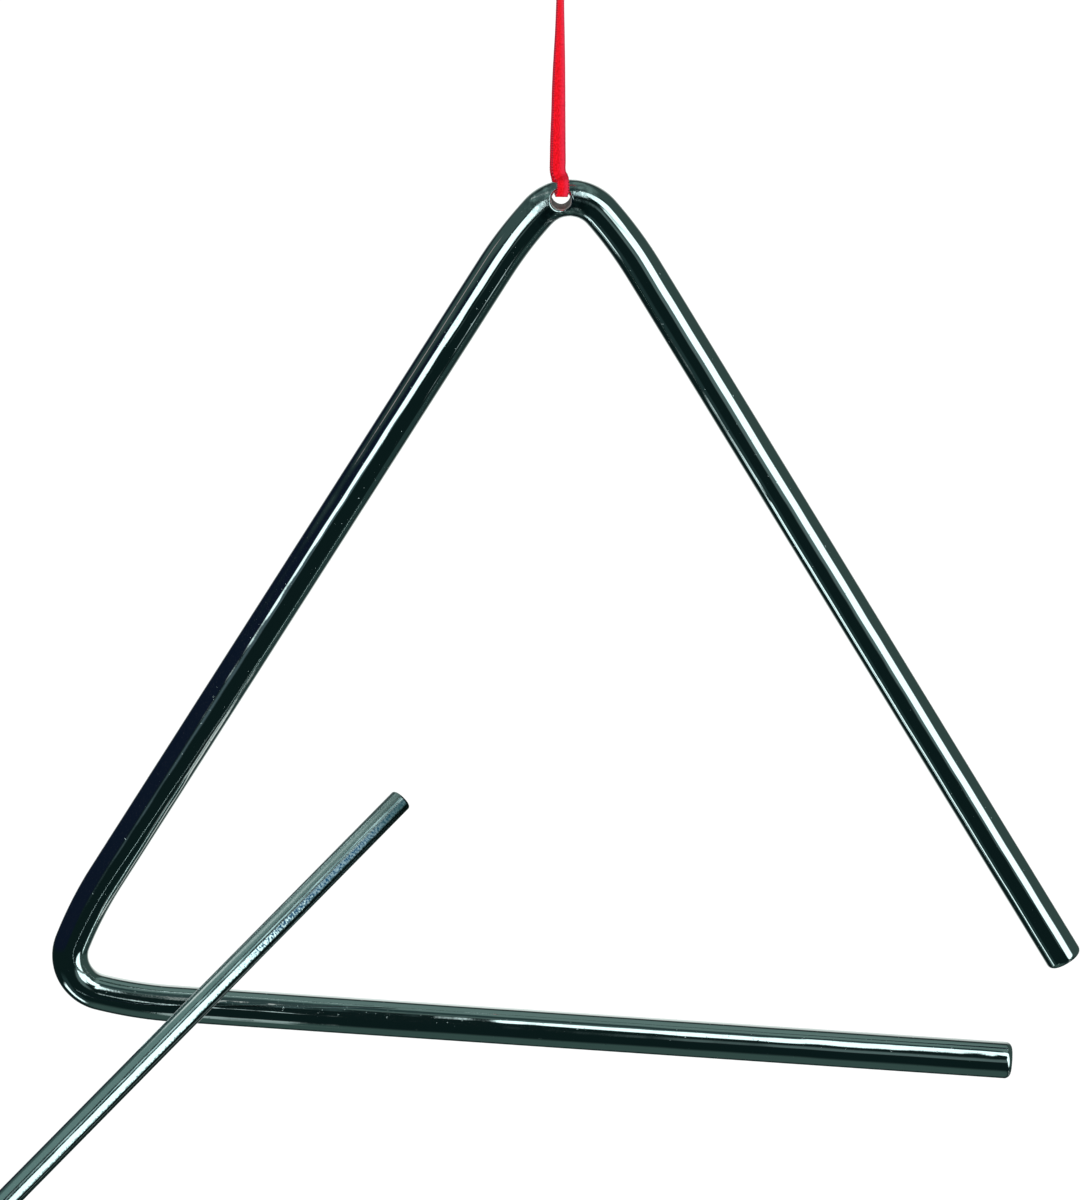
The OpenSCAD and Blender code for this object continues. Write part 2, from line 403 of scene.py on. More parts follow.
def rod_rings(steps):
    """All rings of the rod from end to end, and how many of them close the first end."""
    start = end_rings(steps[0][0], steps[0][1] - 180)[::-1]
    start = [ring[[(-k) % ROD_SIDES for k in range(ROD_SIDES)]] for ring in start]
    body = [rod_ring(*step) for step in steps]
    return start + body + end_rings(steps[-1][0], steps[-1][1]), len(start)


def surface_depth(flat):
    """How far the bend's surface lies from the triangle's middle plane."""
    out = np.linalg.norm(flat - BEND_CENTRE, axis=-1) - TOP_BEND_R
    return half_depth(1) * np.sqrt(np.clip(1 - (out / half_width(1)) ** 2, 0, 1))


def hole_rings(boundary, side):
    """Rings from the bend's surface, over the mouth's broken rim, to the middle of the bore.

    The side is -1 on the front and 1 on the back. Also gives how many rings lie outside the bore.
    """
    spokes = boundary - HOLE_AT
    reach = np.linalg.norm(spokes, axis=1)
    ways = spokes / reach[:, None]
    mouth_rise = np.array([0, BORE_RISE * (1 + side) / 2])
    outer_r = MOUTH_R + RIM_EDGE

    def on_surface(r, share):
        """Points on the bend, about the hole's middle or, at share 1, about the mouth's own middle."""
        flat = HOLE_AT + share * mouth_rise + np.broadcast_to(r, reach.shape)[:, None] * ways
        return np.column_stack([flat, surface_depth(flat)])

    def in_bore(r, depth):
        rise = BORE_RISE / 2 * (1 + side * depth / (ROD_D / 2))
        flat = HOLE_AT + r * ways
        return np.column_stack([flat[:, 0], flat[:, 1] + rise, depth])

    rim = on_surface(MOUTH_R, 1)
    outer = on_surface(outer_r, 1)
    throat = in_bore(HOLE_D / 2, rim[:, 2] - RIM_DEPTH)
    inner = rim + RIM_SHARE * (throat - rim)
    rings = []
    for t in np.linspace(1, 0, SKIN_RINGS)[1:-1]:
        rings.append(on_surface(outer_r + (reach - outer_r) * t ** SKIN_CROWDING, 1 - t))
    for t in np.linspace(0, 1, RIM_RINGS):
        rings.append((1 - t) ** 2 * outer + 2 * t * (1 - t) * rim + t * t * inner)
    outside_bore = len(rings)
    for t in np.linspace(0, 1, THROAT_RINGS)[1:]:
        rings.append(inner + t * (throat - inner))
    for t in np.linspace(0, 1, BORE_RINGS)[1:]:
        depth = throat[:, 2] * (1 - t)
        mark = DRILL_MARK * math.sin((1 - t) * 2 * math.pi * (ROD_D / 2 / DRILL_PITCH))
        rings.append(in_bore(HOLE_D / 2 + mark, depth))
    return rings, outside_bore


def rod_point(ring, k):
    """Number of a point of the rod's rings."""
    return ring * ROD_SIDES + k % ROD_SIDES


def rod_faces(rings, patch_first, patch_last):
    """The rod's quads and end faces, but for the front and back patches that the hole's rings fill."""
    reach = HOLE_SIDE_CELLS
    faces = []
    for i in range(rings - 1):
        for k in range(ROD_SIDES):
            on_front = (k + reach) % ROD_SIDES < 2 * reach
            on_back = (k + reach - ROD_SIDES // 2) % ROD_SIDES < 2 * reach
            if patch_first <= i < patch_last and (on_front or on_back):
                continue
            quad = (rod_point(i, k), rod_point(i, k + 1), rod_point(i + 1, k + 1), rod_point(i + 1, k))
            faces.append(quad)
    faces.append(tuple(rod_point(0, k) for k in range(ROD_SIDES)))
    faces.append(tuple(rod_point(rings - 1, k) for k in range(ROD_SIDES)))
    return faces


def patch_edge(first, last):
    """Ring and side numbers of the points round the front patch."""
    reach = HOLE_SIDE_CELLS
    edge = [(first, k) for k in range(-reach, reach)]
    edge += [(ring, reach) for ring in range(first, last)]
    edge += [(last, k) for k in range(reach, -reach, -1)]
    edge += [(ring, -reach) for ring in range(last, first, -1)]
    return edge


def edge_places(edge, steps, end_count):
    """The same points in the triangle's own plane."""
    flat = []
    for ring, k in edge:
        point, direction, _ = steps[ring - end_count]
        flat.append(point + half_width(1) * cos(-90 + SIDE_STEP * k) * heading(direction - 90))
    return np.array(flat)


def hole_chains(points, edge, flat):
    """Rings of point numbers from the patch's edge to the middle of the bore, on the front and on the back.

    Their new points are added to the list. The ring in the middle belongs to the front's chain alone.
    Also gives how many rings of a chain lie outside the bore.
    """
    chains = []
    for side in (-1, 1):
        on_back = side > 0
        patch, outside_bore = hole_rings(flat, side)
        chain = [[rod_point(ring, ROD_SIDES // 2 - k if on_back else k) for ring, k in edge]]
        for ring in patch[:-1] if on_back else patch:
            first = len(points)
            points += list(hang(ring[:, :2], side * ring[:, 2]))
            chain.append(list(range(first, first + len(edge))))
        chains.append(chain)
    return chains, outside_bore + 1


def hole_faces(chains, bore_from):
    """Quads along the chains from the front's edge to the back's: those outside, and the bore's wall."""
    joined = chains[0] + chains[1][::-1]
    outside, wall = [], []
    for i, (ring, after) in enumerate(zip(joined, joined[1:])):
        in_bore = bore_from <= i < len(joined) - 1 - bore_from
        for k in range(len(ring)):
            n = (k + 1) % len(ring)
            quad = (ring[k], ring[n], after[n], after[k])
            (wall if in_bore else outside).append(quad)
    return outside, wall


def rod_shares(points, chains, bore_from):
    """How near each point is to the hole and to the lower bend, and how far it is inside the bore."""
    places = np.array(points)
    from_hole = np.linalg.norm(places[:, [0, 2]] - HOLE_MIDDLE, axis=1)
    from_corner = np.linalg.norm(places - hang(LOWER_ARCS[1][0], 0), axis=1)
    inside = np.zeros(len(points))
    for chain in chains:
        for step, ring in enumerate(chain[bore_from:]):
            inside[ring] = min(1, step / DARKENING_RINGS)
    return {
        "near_hole": 1 - smooth((from_hole - HOLE_ROUGH_R) / HOLE_ROUGH_FADE),
        "near_corner": 1 - smooth((from_corner - CORNER_ROUGH_R) / CORNER_ROUGH_FADE),
        "inside": inside,
    }


def make_rod(materials):
    steps, patch_first = rod_steps()
    rings, end_count = rod_rings(steps)
    patch_first += end_count
    patch_last = patch_first + 2 * HOLE_CELLS
    points = [p for ring in rings for p in ring]
    edge = patch_edge(patch_first, patch_last)
    chains, bore_from = hole_chains(points, edge, edge_places(edge, steps, end_count))
    outside, wall = hole_faces(chains, bore_from)
    faces = rod_faces(len(rings), patch_first, patch_last) + outside
    kinds = [0] * len(faces) + [1] * len(wall)
    attributes = rod_shares(points, chains, bore_from)
    return add_object("triangle", points, faces + wall, materials, kinds, attributes)


# Beater
def beater_profile():
    """Distance from the tip and radius of each ring, from the middle of the tip to that of the grip end."""
    r = BEATER_D / 2
    step = 1.5
    face_radii = (0.1, 0.4, 0.75)
    tip = [(0, face_r) for face_r in face_radii]
    for a in np.linspace(0, 90, 12):
        tip.append((BEATER_END_R * (1 - cos(a)), r - BEATER_END_R * (1 - sin(a))))
    shank = [(ahead, r) for ahead in np.arange(BEATER_END_R + step, BEATER_L - BEATER_END_R - 1, step)]
    return tip + shank + [(BEATER_L - ahead, ring_r) for ahead, ring_r in tip[::-1]]


def make_beater(material):
    level = cos(BEATER_FALL)
    way = np.array([-cos(BEATER_LEAN) * level, -sin(BEATER_LEAN) * level, -sin(BEATER_FALL)])
    across = unit(np.cross(way, [0, 0, 1]))
    upward = np.cross(across, way)
    sides = 96
    turns = np.radians(np.arange(sides) * 360 / sides)
    spokes = np.cos(turns)[:, None] * across + np.sin(turns)[:, None] * upward
    profile = beater_profile()
    points = []
    for ahead, ring_r in profile:
        points += list(BEATER_TIP + ahead * way + ring_r * spokes)
    attributes = {
        "along": np.repeat([ahead for ahead, _ in profile], sides),
        "turn_share": np.tile(np.arange(sides) / sides, len(profile)),
    }
    return add_object("beater_rod", points, capped_skin(len(profile), sides), [material], None, attributes)


# Ribbon
def spline(route):
    """Evenly spaced places along a smooth curve through the route's points, and the curve's length."""
    knots = np.array(route, float)
    lengths = np.linalg.norm(np.diff(knots[:, :3], axis=0), axis=1)
    at = np.concatenate([[0], np.cumsum(np.sqrt(lengths))])
    slopes = np.gradient(knots, at, axis=0)
    dense = []
    for i in range(len(knots) - 1):
        h = at[i + 1] - at[i]
        for t in np.linspace(0, 1, ROUTE_STEPS, endpoint=False):
            a = 2 * t ** 3 - 3 * t ** 2 + 1
            b = t ** 3 - 2 * t ** 2 + t
            c = -2 * t ** 3 + 3 * t ** 2
            d = t ** 3 - t ** 2
            dense.append(a * knots[i] + b * h * slopes[i] + c * knots[i + 1] + d * h * slopes[i + 1])
    dense = np.array(dense + [knots[-1]])
    run = np.concatenate([[0], np.cumsum(np.linalg.norm(np.diff(dense[:, :3], axis=0), axis=1))])
    even = np.linspace(0, run[-1], int(run[-1] / RIBBON_STEP) + 1)
    return np.column_stack([np.interp(even, run, dense[:, c]) for c in range(4)]), run[-1]


def ribbon_section(ripple):
    """The ribbon's cross-section in shares of its width and thickness, its woven edges a little fuller."""
    bulge = 0.25
    bulge_at = 0.45
    bulge_width = 0.03
    face = []
    for s in np.linspace(-0.47, 0.47, 17):
        fuller = 1 + bulge * math.exp(-(((abs(s) - bulge_at) / bulge_width) ** 2))
        face.append((s, 0.5 * fuller))
    edge = [(0.49 + ripple, -0.3), (0.5 + ripple, 0), (0.49 + ripple, 0.3)]
    return [(s, -t) for s, t in face] + edge + face[::-1] + [(-s, -t) for s, t in edge]


def make_ribbon(name, places, material, cup=0.0, gather=None):
    """A flat woven ribbon swept along its places. Its cup bows it, and gather says where it narrows."""
    sides = len(ribbon_section(0))
    points, along, across_share, gathered = [], [], [], []
    run = 0.0
    for i, p in enumerate(places):
        before = places[max(i - 1, 0)]
        after = places[min(i + 1, len(places) - 1)]
        way = unit(after[:3] - before[:3])
        across = np.array([cos(p[3]), sin(p[3]), 0])
        flat = unit(np.cross(way, across))
        wide = np.cross(flat, way)
        ripple = SELVEDGE_RIPPLE * math.sin(2 * math.pi * run / SELVEDGE_PITCH)
        drawn_in = gather(p) if gather else 0
        width = RIBBON_W * (1 - GATHER * drawn_in)
        for s, t in ribbon_section(ripple):
            bow = cup * (0.25 - s * s)
            points.append(p[:3] + s * width * wide + (t * RIBBON_T + bow) * flat)
            along.append(run)
            across_share.append(s)
            gathered.append(drawn_in)
        run += np.linalg.norm(after[:3] - p[:3])
    attributes = {"along": along, "across": across_share, "gathered": gathered}
    return add_object(name, points, capped_skin(len(places), sides), [material], None, attributes)


def gathered_at_hole(place):
    """How far a strand is drawn in: fully where it bends over the rod's edge into the hole."""
    rise = place[2] - HOLE_MIDDLE[1]
    return float(smooth((GATHER_TOP - rise) / GATHER_FADE))


# Knot
def knot_band(axis, radius, width, lift, lift_turn, folds):
    """A band of gathered ribbon round the knot, folded lengthwise, that passes over and under the others."""
    across = 25
    around = 96
    pinched = 0.22
    fold_depth = 0.1
    edge_drop = 0.35
    thickness = 0.28
    axis = unit(np.array(axis, float))
    side = unit(np.cross(axis, [0, 1, 0.3]))
    other = np.cross(axis, side)
    section = [(s, 1) for s in np.linspace(-0.5, 0.5, across)]
    section += [(s, 0) for s in np.linspace(0.5, -0.5, across)]
    points, along, shares = [], [], []
    for i in range(around):
        a = 360 * i / around
        spoke = cos(a) * side + sin(a) * other
        rise = lift * cos(a - lift_turn)
        pinch = 1 - pinched * cos(a - lift_turn)
        for s, top in section:
            sway = 2 * math.pi * folds * s + 0.8 * sin(2 * a)
            fold = fold_depth * math.cos(sway) * (1 - 0.3 * sin(3 * a))
            edge = edge_drop * (2 * abs(s)) ** 3
            r = radius + rise - edge + (fold + thickness if top else fold * 0.6)
            points.append(KNOT_MIDDLE + r * spoke + s * width * pinch * axis)
            along.append(i * 2 * math.pi * radius / around)
            shares.append(s)
    sides = len(section)
    faces = skin(around, sides)
    last = (around - 1) * sides
    for k in range(sides):
        n = (k + 1) % sides
        faces.append((last + k, last + n, n, k))
    return points, faces, along, shares


def knot_core():
    """The lump of ribbon that fills the knot under its bands, a little taller than wide."""
    radius = 2.05
    lumps = 0.08
    height_share = 1.12
    points, shares = [], []
    rows, sides = 24, 48
    for i in range(1, rows):
        polar = 180 * i / rows
        for k in range(sides):
            turn = 360 * k / sides
            r = radius + lumps * sin(5 * turn + 3 * polar)
            spoke = np.array([sin(polar) * cos(turn), sin(polar) * sin(turn), height_share * cos(polar)])
            points.append(KNOT_MIDDLE + r * spoke)
            shares.append(0.3 * sin(4 * turn))
    return points, capped_skin(rows - 1, sides), [0.0] * len(points), shares


def knot_tail(turn):
    """A cut ribbon end that leaves the knot and curls a little, its tip cut on the slant."""
    rings = 46
    root = 1.2
    root_gather = 0.62
    climb = 20
    curl = 0.5
    cupped = 0.45
    waver = 0.12
    across = np.linspace(-0.5, 0.5, 13)
    section = [(s, 0.5) for s in across] + [(s, -0.5) for s in across[::-1]]
    points, along, shares = [], [], []
    for i in range(rings):
        t = i / (rings - 1)
        gather = root_gather + (1 - root_gather) * float(smooth(t * 3))
        for s, top in section:
            length = root + t * (KNOT_D / 2 + TAIL_L - root - (s + 0.5) * RIBBON_W)
            rise = length * sin(climb) + curl * math.sin(length * 0.42)
            cup = cupped * (0.25 - s * s) * (1.6 - t) + waver * math.sin(length * 1.1)
            x = length * cos(climb)
            y = s * RIBBON_W * gather
            z = rise + cup + top * RIBBON_T
            turned = np.array([cos(turn) * x - sin(turn) * y, sin(turn) * x + cos(turn) * y, z])
            points.append(KNOT_MIDDLE + turned)
            along.append(length)
            shares.append(s)
    return points, capped_skin(rings, len(section)), along, shares


def make_knot(material):
    parts = [
        knot_core(),
        # Each band's axis, radius, width, how far it lifts over the others and where, and its folds
        knot_band((0.15, 0.1, 1), 2.2, 2.4, 0.18, 100, 3),
        knot_band((-0.75, 0.15, 1), 2.15, 2.5, 0.3, 250, 3.5),
        knot_band((1, -0.25, 0.75), 2.15, 2.3, 0.3, 40, 3),
        knot_tail(4),
        knot_tail(176),
    ]
    points, faces, along, shares = [], [], [], []
    for part_points, part_faces, part_along, part_shares in parts:
        first = len(points)
        points += list(part_points)
        faces += [tuple(first + v for v in face) for face in part_faces]
        along += list(part_along)
        shares += list(part_shares)
    return add_object("knot", points, faces, [material], None, {"along": along, "across": shares})


# Material helpers
def new_material(name):
    material = bpy.data.materials.new(name)
    material.use_nodes = True
    material.node_tree.nodes.clear()
    return material, material.node_tree


def node(tree, kind, inputs=None, **settings):
    made = tree.nodes.new(kind)
    for key, value in settings.items():
        setattr(made, key, value)
    for key, value in (inputs or {}).items():
        if isinstance(value, bpy.types.NodeSocket):
            tree.links.new(value, made.inputs[key])
        else:
            made.inputs[key].default_value = value
    return made


def math_node(tree, operation, a, b=0.0):
    return node(tree, "ShaderNodeMath", {0: a, 1: b}, operation=operation).outputs[0]


def plus(tree, a, b):
    return math_node(tree, "ADD", a, b)


def times(tree, a, b):
    return math_node(tree, "MULTIPLY", a, b)


def remap(tree, value, low, high, to_low=0.0, to_high=1.0):
    """A smooth step from to_low, where the value is low, to to_high, where it is high."""
    inputs = {"Value": value, "From Min": low, "From Max": high, "To Min": to_low, "To Max": to_high}
    return node(tree, "ShaderNodeMapRange", inputs, interpolation_type="SMOOTHSTEP").outputs[0]


def mix_colour(tree, share, a, b):
    return node(tree, "ShaderNodeMix", {0: share, 6: a, 7: b}, data_type="RGBA").outputs[2]


def noise(tree, vector, scale, detail=2.0, roughness=0.5):
    inputs = {"Vector": vector, "Scale": scale, "Detail": detail, "Roughness": roughness}
    return node(tree, "ShaderNodeTexNoise", inputs).outputs[0]


def attribute(tree, name):
    return node(tree, "ShaderNodeAttribute", attribute_name=name).outputs["Fac"]


def object_place(tree):
    return node(tree, "ShaderNodeTexCoord").outputs["Object"]


def flat_place(tree, x, y):
    return node(tree, "ShaderNodeCombineXYZ", {0: x, 1: y, 2: 0.0}).outputs[0]


def bump(tree, height, distance, strength=1.0):
    inputs = {"Strength": strength, "Distance": distance, "Height": height}
    return node(tree, "ShaderNodeBump", inputs).outputs[0]


def surface(tree, shader):
    node(tree, "ShaderNodeOutputMaterial", {"Surface": shader.outputs[0]})


# Materials
def chrome():
    """Plated, polished steel: a faint ripple, small pits, and rougher by the hole and the lower bend."""
    plate = (0.80, 0.83, 0.82, 1)
    stain = (0.14, 0.18, 0.20, 1)
    material, tree = new_material("triangle_chrome")
    place = object_place(tree)
    near_hole = attribute(tree, "near_hole")
    near_corner = times(tree, attribute(tree, "near_corner"), 0.3)
    swell = noise(tree, place, 75.0, 1.0)
    peel = noise(tree, place, 700.0, 2.0)
    grain = noise(tree, place, 2600.0, 3.0, 0.65)
    specks = remap(tree, noise(tree, place, 1500.0, 1.0), 0.73, 0.78)
    rough_skin = times(tree, grain, math_node(tree, "MAXIMUM", near_hole, near_corner))
    height = times(tree, swell, 3.0)
    height = plus(tree, height, times(tree, peel, 0.05))
    height = plus(tree, height, times(tree, specks, 0.12))
    height = plus(tree, height, times(tree, rough_skin, 0.35))
    blotches = remap(tree, noise(tree, place, 900.0, 3.0), 0.35, 0.6)
    stained = times(tree, times(tree, near_hole, blotches), 0.7)
    inputs = {
        "Base Color": mix_colour(tree, stained, plate, stain),
        "Metallic": 1.0,
        "Roughness": 0.03,
        "Normal": bump(tree, height, 0.00008),
    }
    surface(tree, node(tree, "ShaderNodeBsdfPrincipled", inputs))
    return material


def bore_steel():
    """The drilled wall and its broken rim: unpolished steel with fine marks round it, darker and browner
    deeper in the bore.
    """
    rim = (0.62, 0.62, 0.60, 1)
    wall_dark = (0.04, 0.032, 0.03, 1)
    wall_pale = (0.24, 0.205, 0.185, 1)
    material, tree = new_material("bore_steel")
    place = object_place(tree)
    depth = node(tree, "ShaderNodeSeparateXYZ", {0: place}).outputs[1]
    fine = {"W": depth, "Scale": 4200.0, "Detail": 3.0}
    marks = node(tree, "ShaderNodeTexNoise", fine, noise_dimensions="1D").outputs[0]
    stain = noise(tree, place, 1400.0, 3.0)
    uneven = remap(tree, plus(tree, marks, stain), 0.7, 1.3)
    wall = mix_colour(tree, uneven, wall_dark, wall_pale)
    inputs = {
        "Base Color": mix_colour(tree, attribute(tree, "inside"), rim, wall),
        "Metallic": 0.7,
        "Roughness": 0.4,
        "Normal": bump(tree, marks, 0.00004),
    }
    surface(tree, node(tree, "ShaderNodeBsdfPrincipled", inputs))
    return material


def beater_steel():
    """Bright steel drawn lengthwise, blue and scuffed towards the tip, with a dark line along its upper side
    that is a painted reflection, and painted shade over its lower side.

    Windows along the beater are in millimetres from its tip, and windows round it in shares of a turn.
    """
    steel = (0.78, 0.86, 0.85, 1)
    painted_reflection_steel = (0.16, 0.23, 0.23, 1)
    blue_steel = (0.012, 0.055, 0.11, 1)
    painted_shade_steel = (0.07, 0.11, 0.11, 1)
    tip_steel = (0.025, 0.055, 0.055, 1)
    material, tree = new_material("beater_steel")
    along = attribute(tree, "along")
    turn_share = attribute(tree, "turn_share")
    turn = times(tree, turn_share, 16.0)
    lines = noise(tree, flat_place(tree, times(tree, along, 0.05), turn), 3.2, 4.0, 0.6)
    strokes = noise(tree, flat_place(tree, times(tree, along, 1.6), turn), 1.4, 3.0, 0.6)
    blotches = noise(tree, object_place(tree), 420.0, 3.0)

    worn = remap(tree, along, 75.0, 8.0)
    lower_side = remap(tree, turn_share, 0.41, 0.45)
    scuffed = times(tree, worn, remap(tree, lower_side, 0.0, 1.0, 0.25, 0.8))
    height = plus(tree, times(tree, lines, 0.25), times(tree, strokes, scuffed))

    # Painted reflection: a dark line along the upper side, broken in places.
    painted_reflection_line = times(tree, remap(tree, turn_share, 0.380, 0.390), remap(tree, turn_share, 0.422, 0.412))
    painted_reflection_line = times(tree, painted_reflection_line, remap(tree, lines, 0.4, 0.6, 0.6, 1.0))
    colour = mix_colour(tree, painted_reflection_line, steel, painted_reflection_steel)

    flecks = plus(tree, strokes, times(tree, remap(tree, along, 70.0, 18.0), 0.5))
    flecks = times(tree, remap(tree, flecks, 0.66, 0.86), lower_side)
    flecks = times(tree, flecks, remap(tree, strokes, 0.42, 0.58, 0.74, 1.0))
    colour = mix_colour(tree, flecks, colour, blue_steel)

    # Painted shade: the lower side is made dark, more so towards the tip.
    edge = remap(tree, plus(tree, turn_share, times(tree, strokes, 0.12)), 0.557, 0.582)
    edge = times(tree, edge, remap(tree, along, 130.0, 60.0, 0.7, 1.0))
    colour = mix_colour(tree, times(tree, edge, 0.88), colour, painted_shade_steel)

    tip = times(tree, remap(tree, along, 15.0, 2.0), remap(tree, blotches, 0.3, 0.7, 0.7, 1.0))
    tip = times(tree, tip, remap(tree, lower_side, 0.0, 1.0, 0.35, 1.0))
    inputs = {
        "Base Color": mix_colour(tree, tip, colour, tip_steel),
        "Metallic": 1.0,
        "Roughness": plus(tree, times(tree, worn, 0.10), 0.07),
        "Normal": bump(tree, height, 0.00005),
    }
    surface(tree, node(tree, "ShaderNodeBsdfPrincipled", inputs))
    return material


def satin():
    """Red woven satin: fine ribs across, darker stitches on the edges, a pinker right side that is a painted
    sheen, and painted shade where it folds over the rod into the hole.
    """
    red_dark = (0.66, 0.0005, 0.004, 1)
    red_bright = (0.94, 0.006, 0.02, 1)
    painted_sheen_pink = (0.77, 0.035, 0.085, 1)
    fleck_red = (0.42, 0.004, 0.012, 1)
    edge_dark = (0.20, 0.002, 0.010, 1)
    edge_bright = (0.60, 0.03, 0.06, 1)
    painted_shade_red = (0.30, 0.002, 0.008, 1)
    rib_pitch = 0.25
    threads_across = 14
    material, tree = new_material("red_satin")
    along = attribute(tree, "along")
    across = attribute(tree, "across")
    weave = flat_place(tree, times(tree, along, 1.2), times(tree, across, 6.0))
    uneven = noise(tree, weave, 1.6, 3.0, 0.6)
    ribs = math_node(tree, "SINE", times(tree, along, 2 * math.pi / rib_pitch))
    threads = math_node(tree, "SINE", times(tree, across, 2 * math.pi * threads_across))
    height = plus(tree, times(tree, ribs, 0.25), times(tree, threads, 0.3))
    height = plus(tree, height, uneven)

    colour = mix_colour(tree, remap(tree, uneven, 0.38, 0.6), red_dark, red_bright)
    # Painted sheen: the right part of the width is made pinker.
    colour = mix_colour(tree, times(tree, remap(tree, across, -0.1, 0.4), 0.7), colour, painted_sheen_pink)
    flecks = remap(tree, noise(tree, weave, 1.9, 2.0), 0.52, 0.66)
    colour = mix_colour(tree, times(tree, flecks, 0.5), colour, fleck_red)

    stitches = math_node(tree, "SINE", times(tree, along, 2 * math.pi / SELVEDGE_PITCH))
    edge_colour = mix_colour(tree, remap(tree, stitches, -0.6, 0.6), edge_dark, edge_bright)
    edge = remap(tree, math_node(tree, "ABSOLUTE", across), 0.36, 0.46)
    colour = mix_colour(tree, edge, colour, edge_colour)

    # Painted shade: darker red in a band where the ribbon bends over the rod into the hole.
    drawn_in = attribute(tree, "gathered")
    painted_fold_shade = times(tree, drawn_in, math_node(tree, "SUBTRACT", 1.0, drawn_in))
    painted_fold_shade = remap(tree, painted_fold_shade, 0.08, 0.25, 0.0, 0.5)
    inputs = {
        "Base Color": mix_colour(tree, painted_fold_shade, colour, painted_shade_red),
        "Roughness": 0.6,
        "Specular IOR Level": 0.06,
        "Sheen Weight": 0.03,
        "Sheen Roughness": 0.4,
        "Sheen Tint": (1, 0.3, 0.4, 1),
        "Normal": bump(tree, height, 0.00003, 0.6),
    }
    surface(tree, node(tree, "ShaderNodeBsdfPrincipled", inputs))
    return material


def floor_white():
    material, tree = new_material("floor_white")
    surface(tree, node(tree, "ShaderNodeBsdfDiffuse", {"Color": (0.9, 0.9, 0.9, 1)}))
    return material


def dome_glow():
    """Light of the studio's dome, which only the steel and the satin's sheen mirror."""
    material, tree = new_material("dome_glow")
    glow = node(tree, "ShaderNodeAttribute", attribute_name="glow").outputs["Color"]
    surface(tree, node(tree, "ShaderNodeEmission", {"Color": glow, "Strength": 1.0}))
    material.cycles.emission_sampling = "NONE"
    return material


# Studio. Azimuth 0 is towards the viewer and right is positive; elevation is above the horizon.
def paint(red, green, blue):
    """Linear colour of a screen colour."""
    c = np.array([red, green, blue]) / 255
    return np.where(c <= 0.04045, c / 12.92, ((c + 0.055) / 1.055) ** 2.4)


NIGHT = paint(13, 29, 29)
CEILING = paint(98, 124, 120)
GROUND = paint(56, 79, 75)
PAPER = paint(235, 245, 242)
TUBE_LIGHT = paint(225, 235, 232)
BOX_LIGHT = np.array([1.2, 1.55, 1.55])

# Walls, shade and haze, each laid over those before: corners as azimuth and elevation, fades and colour
WALLS = [
    # Ceiling on the left, the dim strip at its end and the shade over the middle
    ([(-125, 38), (-10, 38), (-10, 64), (-125, 64)], 7, paint(99, 127, 124)),
    ([(-11, 34), (-2, 34), (-1, 78), (-14, 78)], 5, paint(50, 70, 70)),
    ([(-3, 57), (26, 55), (45, 67), (-3, 75)], 6, paint(42, 63, 63)),
    # Right wall
    ([(62, -28), (150, -28), (150, 60), (62, 60)], [12, 30, 12, 6], paint(54, 74, 71)),
    # Blue night on the left and the wall above it
    ([(-165, -8), (-36, -8), (-36, 24), (-165, 24)], [8, 10, 12, 12], paint(14, 24, 40)),
    ([(-170, 27), (-42, 25), (-42, 45), (-170, 45)], [10, 8, 8, 8], paint(58, 80, 78)),
    # Low wall on the right and low glow on the left
    ([(78, -56), (148, -56), (148, -33), (78, -33)], 8, paint(38, 59, 58)),
    ([(-82, -56), (-50, -56), (-50, -30), (-82, -30)], 9, paint(34, 54, 54)),
    # Haze on both sides of the viewer
    ([(4, -6), (26, -7), (26, 12), (4, 8)], [6, 8, 12, 6], paint(86, 107, 106)),
    ([(-30, -3), (-12, -5), (-9, 2), (-30, 4)], [5, 2, 2, 12], paint(70, 90, 95)),
]

# Light boxes, tubes and glints, laid in the same way
LIGHTS = [
    # Right box, and the high box over it
    (
        [(21.5, 8), (30.5, -4), (45, -21), (64, -33), (68, -20), (58, 34), (21.5, 18)],
        [5, 5, 4, 6, 7, 7, 4],
        BOX_LIGHT,
    ),
    ([(18, 40), (26, 27), (30, 23), (58, 30), (62, 36), (40, 52), (20, 58)], 4, BOX_LIGHT),
    # Left box and top box
    ([(-36, 7.4), (-27, 3.6), (-5, 0.8), (-13, 16), (-26, 32), (-36, 32)], [2, 2, 3, 3, 3, 5], BOX_LIGHT),
    (
        [(2, 33), (10, 23), (11.5, 22), (16, 36), (21, 44), (22, 57), (3, 46)],
        [4, 4, 3, 3, 4, 4, 3],
        BOX_LIGHT,
    ),
    # Upright tube beside the left box
    ([(-6.6, 34), (-5.9, 34), (-4.6, 54), (-5.3, 54)], [4, 1, 4, 1], TUBE_LIGHT),
    # Low box on the left and the shelf above it
    ([(-101, -62), (-78, -62), (-78, -39), (-101, -40)], [6, 5, 5, 5], BOX_LIGHT),
    ([(-89, 25.5), (-84, 25.5), (-83, 34), (-88, 34)], [1.5, 2.5, 3, 2.5], paint(165, 155, 155)),
    # Long tubes, two high on the left and one low on the right
    ([(-112, 44), (-75, 58.5), (-75, 60.5), (-112, 46)], [1, 1, 1, 6], TUBE_LIGHT),
    ([(-75, 58.5), (-42, 60.5), (-42, 62), (-75, 60.5)], [1, 8, 1, 1], TUBE_LIGHT),
    ([(75, -47.5), (135, -44), (150, -39), (100, -44.5), (75, -46)], [2, 2, 2, 2, 8], TUBE_LIGHT),
    # Glint on the ground
    ([(-30, -75), (-14, -60), (-12, -52), (-18, -54)], 4, paint(150, 170, 168)),
]


